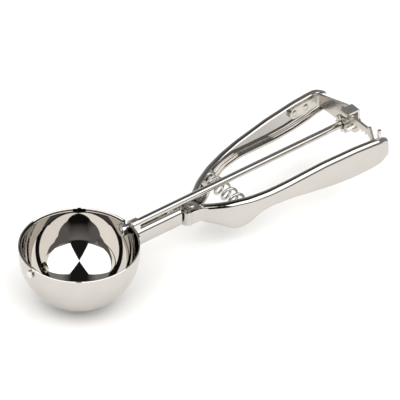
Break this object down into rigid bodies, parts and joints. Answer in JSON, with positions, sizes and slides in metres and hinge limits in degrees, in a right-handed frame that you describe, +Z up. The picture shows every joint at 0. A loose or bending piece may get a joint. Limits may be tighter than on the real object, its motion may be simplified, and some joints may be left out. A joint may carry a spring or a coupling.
{
  "type": "ice cream scoop",
  "caption": "Squeeze-handle ice cream scoop: round bowl on a channel neck, curved scraper blade turned by a rack and pinion, two pressed handles on a pivot with a return spring.",
  "frame": {"origin": "centre of the bowl's rim, in the plane of its flat edge", "axes": "+X along the shaft from the bowl to the handle ends, +Y towards the fixed handle, +Z up out of the bowl's mouth"},
  "size_m": [0.2199, 0.064, 0.0421],
  "materials": {
    "polished_stainless": "mirror-polished stainless steel",
    "satin_stainless": "satin stainless steel, as stamped or turned",
    "spring_steel": "drawn stainless spring wire"
  },
  "bodies": {
    "scoop_frame": {"bowl": "polished_stainless", "neck": "polished_stainless", "front_bearing": "satin_stainless", "scraper_pin": "polished_stainless", "fixed_handle": "polished_stainless", "strap_rivets": "polished_stainless", "pivot_rivet": "polished_stainless", "pivot_washers": "satin_stainless", "pivot_spacer": "satin_stainless", "bearing_bracket": "satin_stainless", "bracket_rivets": "satin_stainless", "rear_bushing": "satin_stainless", "fixed_spring_seat": "satin_stainless", "spring": "spring_steel"},
    "lever": {"moving_handle": "polished_stainless", "rack": "satin_stainless", "rack_rivets": "satin_stainless", "rack_pin": "satin_stainless", "moving_spring_seat": "satin_stainless"},
    "drive": {"drive_shaft": "polished_stainless", "pinion": "satin_stainless", "scraper": "polished_stainless", "scraper_hub": "satin_stainless", "hub_pin": "satin_stainless", "shaft_clip": "spring_steel"}
  },
  "joints": [
    {"name": "squeeze", "type": "hinge", "parent": "scoop_frame", "child": "lever", "pos_m": [0.0747, 0, -0.0135], "axis": [0, 0, 1], "range_deg": [0, 7.8], "stiffness_Nm_per_rad": 1.7, "springref_deg": -12.03, "deforming": ["spring"]},
    {"name": "scraper_turn", "type": "hinge", "parent": "scoop_frame", "child": "drive", "pos_m": [0.1, 0, -0.004], "axis": [1, 0, 0], "range_deg": [-180, 0]}
  ],
  "couplings": [
    {"joint": "scraper_turn", "follows": "squeeze", "ratio": -23}
  ]
}
